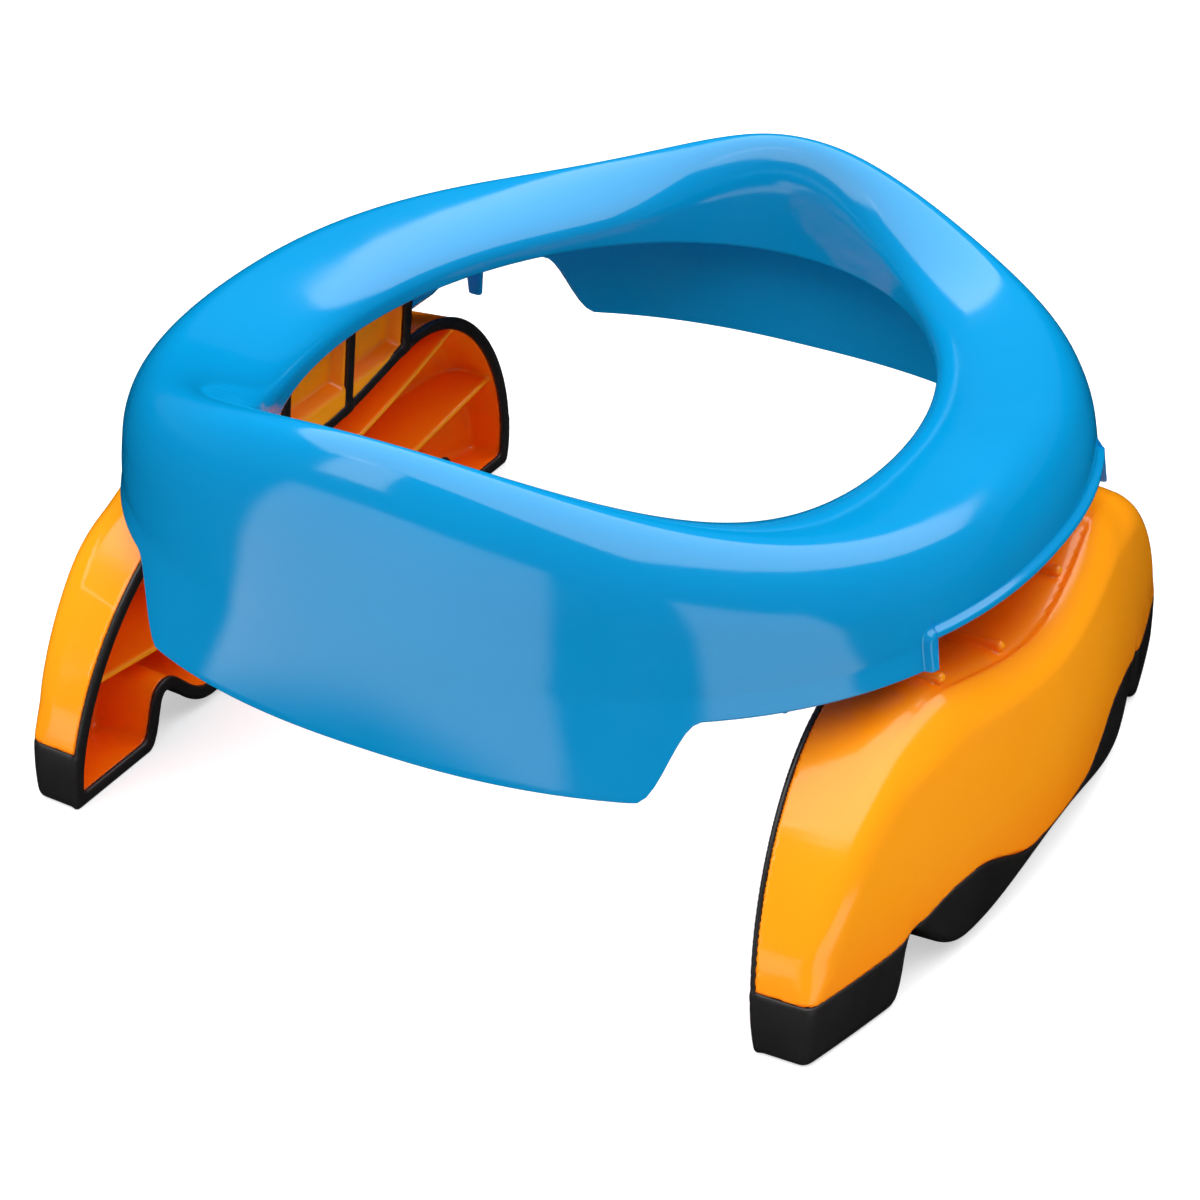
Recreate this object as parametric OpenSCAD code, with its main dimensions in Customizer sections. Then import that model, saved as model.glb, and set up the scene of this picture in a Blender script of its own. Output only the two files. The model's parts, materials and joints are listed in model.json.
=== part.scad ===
// Folding travel potty chair: a saddle-shaped ring seat on two hinged tray legs.
// Millimetres, +Z up. X runs from leg to leg, Y from front (-) to back (+).
// The origin is on the floor, under the centre of the seat opening.

/* [Seat ring] */
// Width of the seat across the legs
seat_w = 230; // [224:1:236]
// Length of the seat from front to back
seat_l = 222; // [218:1:230]
// Squareness of the plan outline (2 is an ellipse)
plan_power = 2.2; // [2.1:0.05:2.4]
// Width of the opening
opening_w = 148; // [144:1:152]
// Length of the opening
opening_l = 188; // [184:1:192]
// Height of the ring's crest at the two sides
side_top = 102.5; // [101:0.5:106]
// Height of the front hump
front_top = 127.5; // [122:0.5:132]
// Height of the rear hump
rear_top = 120.5; // [116:0.5:126]
// Height of the skirt's edge at the front and rear lobes
lobe_z = 56; // [54:0.5:60]
// Height of the skirt's edge between a lobe and a side cut-out
deep_z = 74.5; // [73:0.5:78]
// Height of the skirt's edge at the side cut-outs
cutout_z = 82; // [81:0.5:84]
// Half the length of a side cut-out
cutout_half = 46.7; // [45:0.1:48]
// Height of the lower edge of the rolled inner lip
lip_z = 89.5; // [89:0.5:92]
// Wall thickness of the moulded seat
seat_wall = 2.4; // [2:0.1:2.8]
// How far the bead on a side cut-out stands out
bead = 1.6; // [1:0.1:2]
// How far the lower corners of the front and rear lobes flare out
flare = 4.2; // [2:0.1:5]

/* [Legs] */
// Lean of each leg outwards from upright, in degrees
splay = 6.16; // [5:0.01:7]
// Distance from the centre to the tray mouth at the floor
mouth_x = 93; // [91:0.5:95]
// Half the length of a leg at the floor
toe = 100.4; // [98:0.1:101]
// Height of a leg's shoulder, measured up the leg
shoulder_v = 67.8; // [67:0.1:68]
// Height of the middle of the concave top wall, measured up the leg
hollow_v = 60; // [58:0.5:60.5]
// Depth of a leg at its middle
leg_depth = 32.4; // [30:0.1:34]
// Depth of a leg at its toes
toe_depth = 15.6; // [14:0.1:18]
// Wall thickness of the orange tray
leg_wall = 2.2; // [1.8:0.1:2.6]
// Thickness of the rubber skin over the feet
sole = 1.6; // [1.2:0.1:2]
// Width of the rubber rim around the tray mouth
rim_w = 3.6; // [3:0.1:4.4]
// Depth of the rubber rim
rim_d = 1.4; // [1.2:0.1:2]

/* [Hinges] */
// Distance of each hinge axis from the centre
hinge_x = 96.5; // [96.4:0.1:96.8]
// Height of the hinge axes
hinge_z = 83.3; // [83.2:0.1:83.6]
// Diameter of a hinge pin
pin_d = 4; // [3:0.1:5]
// Half the length of the hinge plate at the top of a leg
plate_half = 42.8; // [40:0.1:43]
// Thickness of the hinge plate
plate_d = 9.2; // [7:0.1:9.4]
// Radius of a hinge ear under the seat
ear_r = 7.4; // [6.6:0.1:7.4]
// Thickness of a hinge ear
ear_t = 8; // [5:0.1:8]

/* [Hidden] */
blue = [0.05, 0.55, 0.86];
orange = [0.98, 0.66, 0.14];
rubber_black = [0.12, 0.12, 0.12];
steel = [0.72, 0.73, 0.75];
play = 0.05;             // radial clearance of a running fit
press = 0.02;            // radial clearance of a pin in its ear
gap = 1;                 // side gap between a hinge plate and an ear
boss_r = 5;              // radius of a leg's hinge boss
boss_l = 9;              // length of a leg's hinge boss
pin_head_r = 3.4;
pin_head_t = 1.4;
ear_y = plate_half + gap;
ear_in = 11.5;           // how far an ear's upper part reaches inwards from the axis
front_spread = 2.9;      // how broad the front hump is (a smaller power is broader)
rear_spread = 9.6;       // how broad the rear hump is
crest_side = 0.36;       // place of the crest across the ring, at the sides
crest_hump = 0.66;       // the same at the humps
drop_side = 14;          // height of the rounded outer shoulder, at the sides
drop_hump = 27;          // the same at the humps
lean_side = 2;           // how far the skirt leans in below the shoulder, at the sides
lean_hump = 0.8;         // the same at the humps
roll_side = 10;          // height of the rolled inner edge, at the sides
roll_hump = 15;          // the same at the humps
lobe_in = 60;            // where a lobe's sloping corner starts, from the centre
lobe_out = 73.5;         // where it ends
step_half = 0.25;        // half the angle taken by the step at a cut-out's end
bead_h = 2.2;            // height of the bead on a cut-out's edge
prong_y = 69.5;          // nearest face of a detent prong
prong_w = 5.4;           // width along X
prong_t = 2.4;           // thickness along Y
prong_x = 82.8;          // middle of a prong
prong_lift = 5.1;        // how much higher the seat's underside is at the front prongs
ear_lift = 1.6;          // the same at the front ears
prong_z = 69;            // height of a prong's tip
prong_taper = 0.8;       // how much narrower it gets on each side
prong_taper_h = 12;      // and over what height
prong_tops = [1.5, 2.6, 4.7];  // how far its inner, middle and outer top stay below the crest
wing_t = 6;              // how far an ear's inner block runs on past the ear
wing_z = 73.5;           // height of its underside
wing_in = 4.5;           // how close it comes to the hinge axis
wing_bevel = [2.2, 2.5];
wing_lift = 3.4;         // how much higher its top is at the front
wing_tops = [1.6, 2.6];  // how far its inner and outer top stay below the crest
// The top of an ear: [out from the hinge axis, down from the crest].
ear_top = [[6.3, 15.3], [4.5, 8.9], [1.7, 5], [-2.3, 2.3], [-5.3, 1.5], [-ear_in, 1.5]];
far = 400;               // larger than any part
eps = 0.01;

// ---- plan curves and heights of the seat, by the angle a around the opening ----
function spow(c, p) = sign(c) * pow(abs(c), p);
function clamp01(v) = max(0, min(1, v));
function ease(v) = let (c = clamp01(v)) c * c * (3 - 2 * c);
function outer_pt(a) = [seat_w / 2 * spow(cos(a), 2 / plan_power),
                        seat_l / 2 * spow(sin(a), 2 / plan_power)];
function inner_pt(a) = [opening_w / 2 * cos(a), opening_l / 2 * sin(a)];
function hump(a) = pow(abs(sin(a)), sin(a) < 0 ? front_spread : rear_spread);
function crest_z(a) = side_top + ((sin(a) < 0 ? front_top : rear_top) - side_top) * hump(a);
function cut_angle() = asin(pow(cutout_half / (seat_l / 2), plan_power / 2));
function in_cutout(a) = abs(sin(a)) < sin(cut_angle());
function skirt_z(a) = in_cutout(a) ? cutout_z
    : lobe_z + (deep_z - lobe_z) * ease((abs(outer_pt(a)[0]) - lobe_in) / (lobe_out - lobe_in));
// How far the skirt stands out at height z: most at the corners of the lobes.
flare_top = deep_z + 6;
function flare_at(a, z) = flare * (0.1 + 0.9 * pow(min(1, abs(outer_pt(a)[0]) / lobe_in), 2))
    * clamp01((flare_top - z) / (flare_top - lobe_z));

// Cross-section of the seat's outer skin at angle a, from the skirt's edge over the
// crest to the lip's edge, as [distance in from the skirt, height].
arc_steps = 6;
function mix(a, at_side, at_hump) = at_side + (at_hump - at_side) * hump(a);
function skin(a) =
    let (w = norm(outer_pt(a) - inner_pt(a)), top = crest_z(a), zb = skirt_z(a),
         c = w * mix(a, crest_side, crest_hump), z0 = top - mix(a, drop_side, drop_hump),
         z1 = top - mix(a, roll_side, roll_hump), b = in_cutout(a) ? bead : 0,
         zc = zb + bead_h + eps + b / 2, l = mix(a, lean_side, lean_hump))
    concat(
        [[-b - flare_at(a, zb), zb], [-b - flare_at(a, zb + bead_h), zb + bead_h],
         [-flare_at(a, zc), zc], [0, max(flare_top, zc + 0.5)]],
        [for (i = [0 : arc_steps]) let (q = 90 * i / arc_steps)
            [l + (c - l) * (1 - cos(q)), z0 + (top - z0) * sin(q)]],
        [for (i = [1 : arc_steps]) let (q = 90 * i / arc_steps)
            [c + (w - c) * sin(q), z1 + (top - z1) * cos(q)]],
        [[w, lip_z]]);
// The same, one wall thickness further inside, from the lip back to the skirt.
function lining(a) =
    let (w = norm(outer_pt(a) - inner_pt(a)), top = crest_z(a) - seat_wall, zb = skirt_z(a),
         c = w * mix(a, crest_side, crest_hump),
         z0 = crest_z(a) - mix(a, drop_side, drop_hump),
         z1 = crest_z(a) - mix(a, roll_side, roll_hump),
         l = seat_wall + mix(a, lean_side, lean_hump))
    concat(
        [[w - seat_wall, lip_z]],
        [for (i = [arc_steps : -1 : 1]) let (q = 90 * i / arc_steps)
            [c + (w - seat_wall - c) * sin(q), z1 + (top - z1) * cos(q)]],
        [for (i = [arc_steps : -1 : 0]) let (q = 90 * i / arc_steps)
            [l + (c - l) * (1 - cos(q)), z0 + (top - z0) * sin(q)]],
        [[seat_wall, max(flare_top, zb + 1)], [seat_wall - flare_at(a, zb), zb]]);
function place(a, p) =
    let (o = outer_pt(a), d = inner_pt(a) - o, q = o + d / norm(d) * p[0]) [q[0], q[1], p[1]];
function section(a) = [for (p = concat(skin(a), lining(a))) place(a, p)];

// Angles of the sections: even steps, with a close pair at each end of a cut-out.
ring_step = 5;
lobe_angles = [50, 52, 54, 56, 58, 60];
function quarter() = concat(
    [for (a = [0 : ring_step : cut_angle() - 1]) a],
    [cut_angle() - step_half, cut_angle() + step_half],
    [for (a = [25 : ring_step : 49]) a],
    lobe_angles,
    [for (a = [65 : ring_step : 89]) a]);
function ring_angles() = let (q = quarter(), n = len(q)) concat(
    q, [90], [for (i = [n - 1 : -1 : 1]) 180 - q[i]],
    [for (a = q) 180 + a], [270], [for (i = [n - 1 : -1 : 1]) 360 - q[i]]);

// A closed tube through a ring of equal sections.
module ring_loft(rows) {
    n = len(rows);
    m = len(rows[0]);
    faces = [for (i = [0 : n - 1], j = [0 : m - 1])
        let (k = (i + 1) % n, l = (j + 1) % m)
        each [[i * m + j, i * m + l, k * m + l], [i * m + j, k * m + l, k * m + j]]];
    polyhedron(points = [for (r = rows) each r], faces = faces, convexity = 10);
}

// ---- hinge ears and detent prongs on the underside of the seat ----
// A shape drawn in X and Z, made solid between y and y + t.
module slab(y, t) {
    translate([0, y + t, 0]) rotate([90, 0, 0]) linear_extrude(t) children();
}
module ear(lift) {
    top = side_top + lift;
    difference() {
        union() {
            translate([hinge_x, ear_y + ear_t, hinge_z]) rotate([90, 0, 0])
                cylinder(h = ear_t, r = ear_r, $fn = 64);
            slab(ear_y, ear_t)
                polygon(concat(
                    [[hinge_x - ear_r, hinge_z], [hinge_x + ear_r, hinge_z]],
                    [for (p = ear_top) [hinge_x + p[0], top - p[1]]],
                    [[hinge_x - ear_in, hinge_z + 5]]));
        }
        translate([hinge_x, ear_y + ear_t + 1, hinge_z]) rotate([90, 0, 0])
            cylinder(h = ear_t + 2, r = pin_d / 2 + press, $fn = 48);
    }
}
module ear_wing(lift) {
    slab(ear_y, ear_t + wing_t)
        polygon([[hinge_x - ear_in, side_top - wing_tops[0] + lift],
                 [hinge_x - ear_in, wing_z + wing_bevel[1]],
                 [hinge_x - ear_in + wing_bevel[0], wing_z],
                 [hinge_x - wing_in, wing_z],
                 [hinge_x - wing_in, side_top - wing_tops[1] + lift]]);
}
module prong(lift) {
    slab(prong_y, prong_t)
        polygon([[prong_x - prong_w / 2, side_top - prong_tops[0] + lift],
                 [prong_x - prong_w / 2, prong_z + prong_taper_h],
                 [prong_x - prong_w / 2 + prong_taper, prong_z],
                 [prong_x + prong_w / 2 - prong_taper, prong_z],
                 [prong_x + prong_w / 2, prong_z + prong_taper_h],
                 [prong_x + prong_w / 2, side_top - prong_tops[2] + lift],
                 [prong_x, side_top - prong_tops[1] + lift]]);
}
module seat_shell() {
    color(blue) union() {
        ring_loft([for (a = ring_angles()) section(a)]);
        for (sx = [0, 1], sy = [0, 1])
            mirror([sx, 0, 0]) mirror([0, sy, 0]) {
                ear(sy * ear_lift);
                ear_wing(sy * wing_lift);
                prong(sy * prong_lift);
            }
    }
}

// ---- leg, drawn flat: u along Y, v up the leg, w out from the tray mouth ----
// Puts a flat leg in its place on the right-hand side.
module stand_right() {
    translate([mouth_x, 0, 0]) rotate([0, -splay, 0]) rotate([90, 0, 90]) children();
}
hinge_v = (hinge_z * cos(splay) - (hinge_x - mouth_x) * sin(splay));
hinge_w = (hinge_x - mouth_x) * cos(splay) + hinge_z * sin(splay);

function bez(p, t) = pow(1 - t, 3) * p[0] + 3 * t * pow(1 - t, 2) * p[1]
    + 3 * t * t * (1 - t) * p[2] + t * t * t * p[3];
function curve(p, n) = [for (i = [0 : n - 1]) bez(p, i / n)];
toe_pull = [4.2, 25.7];  // how the end of a leg bows, out and up from the toe
end_pull = 81;           // how far out the shoulder's curve reaches
heel = 70;               // inner end of a foot
arch_u = 64;             // top of the notch behind a foot
arch_v = 15;
belly_u = 44;            // lowest part between the feet
belly_v = 2.4;
mid_v = 9.5;             // underside of a leg at its middle
shoulder_u = 48;         // where the level shoulder meets the concave wall
under = 9;               // how far the outline runs on below the floor
function half_outline() = concat(
    [[toe - 0.3, -under]],
    curve([[toe, 0], [toe + toe_pull[0], toe_pull[1]], [end_pull, shoulder_v], [shoulder_u, shoulder_v]], 14),
    curve([[shoulder_u, shoulder_v], [shoulder_u - 12, shoulder_v],
           [19, hollow_v], [0, hollow_v]], 8));
function half_bottom() = concat(
    curve([[0, mid_v], [16, mid_v], [30, belly_v], [belly_u, belly_v]], 6),
    curve([[belly_u, belly_v], [54, belly_v], [arch_u - 4, arch_v - 1], [arch_u, arch_v]], 6),
    curve([[arch_u, arch_v], [67.5, arch_v + 0.8], [66, 5], [heel, 0]], 6),
    [[heel + 0.6, -under]]);
function flip(pts) = [for (i = [len(pts) - 1 : -1 : 0]) [-pts[i][0], pts[i][1]]];
function outline() =
    let (top = concat(half_outline(), [[0, hollow_v]]), low = half_bottom(),
         right = concat(low, top))
    concat(right, [for (p = flip(right)) if (p[0] < -eps) p]);

// Everything behind the bowed outer face, taken back by the thickness t.
bow_r = (toe * toe) / (2 * (leg_depth - toe_depth));
tuck_r = 300;            // radius of the face's curve from top to bottom
tuck_v = 38;             // height where the face stands out most
module behind_face(t) {
    intersection() {
        translate([0, -far / 2, leg_depth - t - bow_r]) rotate([-90, 0, 0])
            cylinder(h = far, r = bow_r, $fn = 400);
        translate([-far / 2, tuck_v, leg_depth - t - tuck_r]) rotate([0, 90, 0])
            cylinder(h = far, r = tuck_r, $fn = 400);
    }
}
// Everything at least h above the floor, in the leg's own frame.
module above_floor(h) {
    rotate([splay, 0, 0]) translate([-far / 2, h, -far / 2]) cube(far);
}
// The leg's whole form, shrunk by inset at its edge and floor and by t at its face.
module leg_form(inset, t, from_w) {
    intersection() {
        translate([0, 0, from_w]) linear_extrude(leg_depth) offset(delta = -inset) polygon(outline());
        behind_face(t);
        above_floor(inset);
    }
}
// Height of the upper edge of the rubber on the outer face.
band_mid = mid_v + 2;    // at the middle
band_peak = 19;          // at its highest, over the belly
band_drop = 4.5;         // how far it comes down again over the feet
band_us = [16, 42, 48, 76];  // where it starts and stops rising, then falling
function band_v(u) = band_mid
    + (band_peak - band_mid) * ease((abs(u) - band_us[0]) / (band_us[1] - band_us[0]))
    - band_drop * ease((abs(u) - band_us[2]) / (band_us[3] - band_us[2]));
band_step = 4;
band_end = toe + 8;
function band_edge() = [for (u = [band_end : -band_step : -band_end]) [u, band_v(u)]];
module band_area() {
    polygon(concat([[-band_end, -under - 1], [band_end, -under - 1]], band_edge()));
}
module above_band() {
    polygon(concat(band_edge(), [[-band_end, far], [band_end, far]]));
}
module plate(w0, w1, v0, half) {
    translate([-half, v0, w0]) cube([2 * half, hinge_v + plate_top - v0, w1 - w0]);
}
plate_top = 4.4;         // plate above the hinge axis
plate_root = 58;         // lower edge of the plate, inside the concave wall
bar_w = 3;               // width of a rubber bar
bar_us = [-41.3, -14.3, 14.3, 41.3];
bar_root = 2;            // how deep a bar's foot is sunk in the rim
pocket_low = 9;          // lower edge of the pockets, above the concave wall
pocket_top = 2.2;        // wall left above the pockets
pocket_floor = 2.4;      // wall left behind the pockets
bumper_r = 1.4;          // radius of a bumper rib's rounded top
bumper_back = 8;         // how far it ends before the outer face
bumper_out = 0.5;        // how far a bumper rib stands out of the concave wall
bumper_us = [-40.2, -13.8, 21];
rib_t = 1.8;             // thickness of the ribs inside a tray
// Two ribs on each side: [u and v of the middle, length, slope in degrees].
rib_low = [66, 27, 60, 8];
rib_high = [36, 47, 68, 14];
// Height of the concave wall's upper face.
function wall_v(u) = hollow_v + (shoulder_v - hollow_v) * ease(abs(u) / shoulder_u);

// The hinge plate above the concave wall, with pockets open to the mouth side. It leaves
// room for the rubber rim at its root and for the rubber bars across it.
module plate_form() {
    difference() {
        plate(0, plate_d, plate_root, plate_half);
        for (i = [0 : 2]) {
            u0 = bar_us[i] + bar_w / 2;
            u1 = bar_us[i + 1] - bar_w / 2;
            v0 = hollow_v + pocket_low;
            translate([u0, v0, -1])
                cube([u1 - u0, hinge_v + plate_top - pocket_top - v0, plate_d - pocket_floor + 1]);
        }
        translate([0, 0, -1]) linear_extrude(rim_d + 1) polygon(outline());
        for (u = bar_us)
            translate([u - bar_w / 2, hollow_v - bar_root, -1]) cube([bar_w, far, rim_d + 1]);
    }
}
module bumper(u) {
    reach = leg_depth - bumper_back - abs(u) / 12;
    v = wall_v(u) - bumper_r + bumper_out;
    translate([u, v, plate_d - 1]) cylinder(h = reach - plate_d, r = bumper_r, $fn = 24);
    translate([u, v, reach - 1]) sphere(r = bumper_r, $fn = 24);
}
module tray_ribs() {
    intersection() {
        leg_form(leg_wall + sole - 0.5, leg_wall + sole - 0.5, 4);
        for (s = [-1, 1], r = [rib_low, rib_high])
            translate([s * r[0], r[1], 0]) rotate([0, 0, s * r[3]])
                cube([r[2], rib_t, far], center = true);
    }
}
module tray_flat() {
    difference() {
        union() {
            difference() {
                union() {
                    intersection() {
                        leg_form(0, 0, rim_d);
                        linear_extrude(leg_depth + 2) above_band();
                    }
                    leg_form(sole, sole, rim_d);
                    plate_form();
                }
                leg_form(leg_wall + sole, leg_wall + sole, -1);
            }
            tray_ribs();
            for (u = bumper_us) bumper(u);
            for (s = [0, 1]) mirror([s, 0, 0])
                translate([plate_half - boss_l, hinge_v, hinge_w]) rotate([0, 90, 0])
                    cylinder(h = boss_l, r = boss_r, $fn = 48);
        }
        for (s = [0, 1]) mirror([s, 0, 0])
            translate([plate_half - boss_l - 1, hinge_v, hinge_w]) rotate([0, 90, 0])
                cylinder(h = boss_l + 3, r = pin_d / 2 + play, $fn = 48);
    }
}
module rubber_flat() {
    // rim around the tray mouth
    intersection() {
        difference() {
            leg_form(0, 0, 0);
            leg_form(rim_w, 0, -1);
        }
        translate([-far / 2, -far / 2, 0]) cube([far, far, rim_d]);
    }
    // skin over the feet and the lower edge
    intersection() {
        difference() {
            leg_form(0, 0, rim_d - eps);
            leg_form(sole, sole, -1);
        }
        translate([0, 0, -1]) linear_extrude(leg_depth + 2) band_area();
    }
    // bars across the hinge plate
    for (u = bar_us)
        translate([u - bar_w / 2, wall_v(u) - bar_root, 0])
            cube([bar_w, hinge_v + plate_top - wall_v(u) + bar_root, rim_d]);
}
module right_leg_tray() {
    color(orange) stand_right() tray_flat();
}
module right_leg_rubber() {
    color(rubber_black) stand_right() rubber_flat();
}
module left_leg_tray() {
    color(orange) mirror([1, 0, 0]) stand_right() tray_flat();
}
module left_leg_rubber() {
    color(rubber_black) mirror([1, 0, 0]) stand_right() rubber_flat();
}

// ---- hinge pins: shank through ear and boss, head outside the ear ----
module pin() {
    color(steel) translate([hinge_x, 0, hinge_z]) rotate([-90, 0, 0]) {
        translate([0, 0, plate_half - boss_l + 0.5])
            cylinder(h = boss_l + gap + ear_t, r = pin_d / 2, $fn = 48);
        translate([0, 0, ear_y + ear_t + play])
            cylinder(h = pin_head_t, r = pin_head_r, $fn = 48);
    }
}
module left_front_hinge_pin() { mirror([1, 0, 0]) mirror([0, 1, 0]) pin(); }
module left_rear_hinge_pin() { mirror([1, 0, 0]) pin(); }
module right_front_hinge_pin() { mirror([0, 1, 0]) pin(); }
module right_rear_hinge_pin() { pin(); }

seat_shell();
left_leg_tray();
right_leg_tray();
left_leg_rubber();
right_leg_rubber();
left_front_hinge_pin();
left_rear_hinge_pin();
right_front_hinge_pin();
right_rear_hinge_pin();
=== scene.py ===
import json
import math

import bpy
import numpy as np
from mathutils import Matrix, Vector


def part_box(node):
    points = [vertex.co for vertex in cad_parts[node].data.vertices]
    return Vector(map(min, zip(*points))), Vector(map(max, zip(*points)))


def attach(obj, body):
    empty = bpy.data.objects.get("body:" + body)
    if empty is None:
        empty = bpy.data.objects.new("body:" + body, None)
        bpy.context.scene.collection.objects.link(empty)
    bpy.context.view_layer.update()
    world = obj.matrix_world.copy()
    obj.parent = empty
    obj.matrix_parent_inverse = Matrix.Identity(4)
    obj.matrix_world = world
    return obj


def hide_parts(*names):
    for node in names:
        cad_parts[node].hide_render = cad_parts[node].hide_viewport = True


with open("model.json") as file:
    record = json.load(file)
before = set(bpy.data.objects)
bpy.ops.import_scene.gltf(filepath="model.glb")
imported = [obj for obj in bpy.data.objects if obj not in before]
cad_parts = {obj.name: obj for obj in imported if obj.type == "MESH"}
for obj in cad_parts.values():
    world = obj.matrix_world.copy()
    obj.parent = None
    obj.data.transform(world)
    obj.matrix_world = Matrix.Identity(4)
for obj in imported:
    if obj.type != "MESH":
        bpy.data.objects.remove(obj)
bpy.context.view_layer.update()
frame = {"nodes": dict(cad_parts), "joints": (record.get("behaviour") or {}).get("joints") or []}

# ---------------------------------------------------------------- sizes, in millimetres
MM = 0.001

# Seat ring
seat_low, seat_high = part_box("seat_shell")
SEAT_W = 230.0                    # across the legs
SEAT_L = 222.0                    # from front to back
FRONT_TOP = seat_high.z / MM
LOBE_Z = seat_low.z / MM
PLAN_POWER = 2.2                  # squareness of the plan outline; 2 is an ellipse
OPENING_W = 148.0
OPENING_L = 188.0
SIDE_TOP = 102.5                  # height of the crest at the sides
REAR_TOP = 120.5                  # height of the rear hump
DEEP_Z = 74.5                     # skirt's edge between a lobe and a side cut-out
CUTOUT_Z = 82.0                   # skirt's edge at the side cut-outs
CUTOUT_HALF = 46.7                # half the length of a cut-out
LIP_Z = 89.5                      # lower edge of the rolled inner lip
SEAT_WALL = 2.4
BEAD = 1.6                        # how far the bead on a cut-out's edge stands out
BEAD_W = 2.6                      # its width
FRONT_SPREAD = 2.9                # a smaller power is a broader hump
REAR_SPREAD = 9.6
LOBE_IN = 60.0                    # where a lobe's sloping corner starts, from the centre
LOBE_OUT = 73.5                   # where it ends
FLARE = 4.2                       # how far the lower corners of the lobes stand out
FLARE_TOP = DEEP_Z + 6
LEAN_SIDE, LEAN_HUMP = 2.0, 0.8   # how far the skirt leans in below the shoulder
CREST_SIDE, CREST_HUMP = 0.36, 0.66# place of the crest across the ring
DROP_SIDE, DROP_HUMP = 14.0, 27.0 # height of the rounded outer shoulder
ROLL_SIDE, ROLL_HUMP = 10.0, 15.0 # height of the rolled inner edge
SKIRT_EDGE_R = 0.7                # rounding of the skirt's lower edge
LEAN_FADE = 8.0                   # how far above the shoulder's start the lean goes on growing

# Hinges and legs
hinge = next(j for j in frame["joints"] if j["name"] == "right_leg_hinge")
HINGE_X = hinge["pos_m"][0] / MM
HINGE_Z = hinge["pos_m"][2] / MM
SPLAY = math.radians(6.16)        # lean of a leg outwards
MOUTH_X = 93.0                    # distance of the tray mouth at the floor
TOE = 100.4                       # half the length of a leg at the floor
SHOULDER_U = 48.0                 # where the level shoulder meets the concave wall
SHOULDER_V = 67.8                 # height of the shoulder, up the leg
HOLLOW_V = 60.0                   # height of the middle of the concave wall
LEG_DEPTH = 32.4                  # at the middle
TOE_DEPTH = 15.6                  # at the toes
SOLE = 1.6                        # thickness of the rubber over the feet
RIM_W = 3.6                       # width of the rubber rim around the tray mouth
RIM_D = 1.4                       # its depth
MID_V = 9.5                       # underside of a leg at its middle
PLATE_HALF = 42.8                 # half the length of the hinge plate
PLATE_D = 9.2                     # its thickness
PLATE_TOP = 4.4                   # its height above the hinge axis
PLATE_BACK = 0.15                 # how far the plate's front lies behind the rubber
POCKET_LOW = 6.0                  # lower edge of the pockets, above the concave wall
POCKET_TOP = 2.2                  # wall left above the pockets
POCKET_FLOOR = 2.4                # wall left behind the pockets
POCKET_DRAFT = 0.56               # how much the pockets narrow for each millimetre in
BAR_US = (-41.3, -14.3, 14.3, 41.3)# rubber bars across the plate
BAR_W = 3.0
BUMPER_US = (-40.2, -13.8, 21.0)  # bumper ribs on the concave wall
BUMPER_R = 1.4
BUMPER_OUT = 0.5
BUMPER_BACK = 8.5                 # how far a bumper rib ends before the outer face
RECESS = 0.45                     # depth of the step in the concave wall
RIDGE_W = 6.2                     # width of the ridge left beside it
BOSS_R = 5.0                      # a leg's hinge bosses
BOSS_L = 9.0
PIN_R = 2.0
BOW_POWER = 1.7                   # how a leg's depth falls off towards its toes
TUCK_V, TUCK_R = 40.0, 310.0      # where the outer face stands out most, and its curve
BAND_MID, BAND_PEAK, BAND_DROP = 12.5, 21.0, 5.0   # heights of the rubber's upper edge
TRAY_WALL = 1.4                   # thickness of the orange wall under the rubber
RIB_HALF = 0.9                    # half the thickness of the ribs inside a tray
RIB_BACK = 3.0                    # how far the ribs lie behind the mouth

# Ears, blocks and prongs on the seat's underside
EAR_Y = PLATE_HALF + 1
EAR_T = 8.0
EAR_R = 7.4
EAR_IN = 11.5
# The top of an ear: [out from the hinge axis, down from the crest].
EAR_TOP = ((6.3, 15.3), (4.5, 8.9), (1.7, 5), (-2.3, 2.3), (-5.3, 1.5), (-EAR_IN, 1.5))
PRONG_Y = 69.5                    # nearest face of a prong
PRONG_W = 5.4
PRONG_T = 2.4
PRONG_X = 82.8                    # middle of a prong
PRONG_Z = 69.0                    # height of a prong's tip
PRONG_TAPER = 0.8                 # how much narrower it gets on each side
PRONG_TAPER_H = 12.0              # and over what height
PRONG_TOP = 2.6                   # how far its top stays below the crest
WING_T = 6.0                      # how far an ear's inner block runs on past the ear
WING_Z = 73.5                     # height of its underside
WING_IN = 4.5                     # how close it comes to the hinge axis
WING_TOPS = (1.6, 2.6)            # how far its inner and outer top stay below the crest
WING_BEVEL = (2.2, 2.5)
EAR_LIFT = 1.6                    # how much higher the seat's underside is at the front
WING_LIFT = 3.4
PRONG_LIFT = 5.1

LEG_STEP = 0.7   # grid spacing of the leg surfaces


# ---------------------------------------------------------------- small helpers
def ease(v):
    c = np.clip(v, 0, 1)
    return c * c * (3 - 2 * c)


def spow(c, p):
    """A power that keeps the sign."""
    return np.sign(c) * np.abs(c) ** p


def cubic(p0, p1, p2, p3, t):
    """Points at the parameters t along a cubic curve."""
    t = t[:, None]
    p0, p1, p2, p3 = (np.array(p, float) for p in (p0, p1, p2, p3))
    return (1 - t) ** 3 * p0 + 3 * t * (1 - t) ** 2 * p1 + 3 * t * t * (1 - t) * p2 + t ** 3 * p3


def bezier(p0, p1, p2, p3, n):
    """n points along a cubic curve, without its last point."""
    return cubic(p0, p1, p2, p3, np.arange(n) / n)


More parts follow.
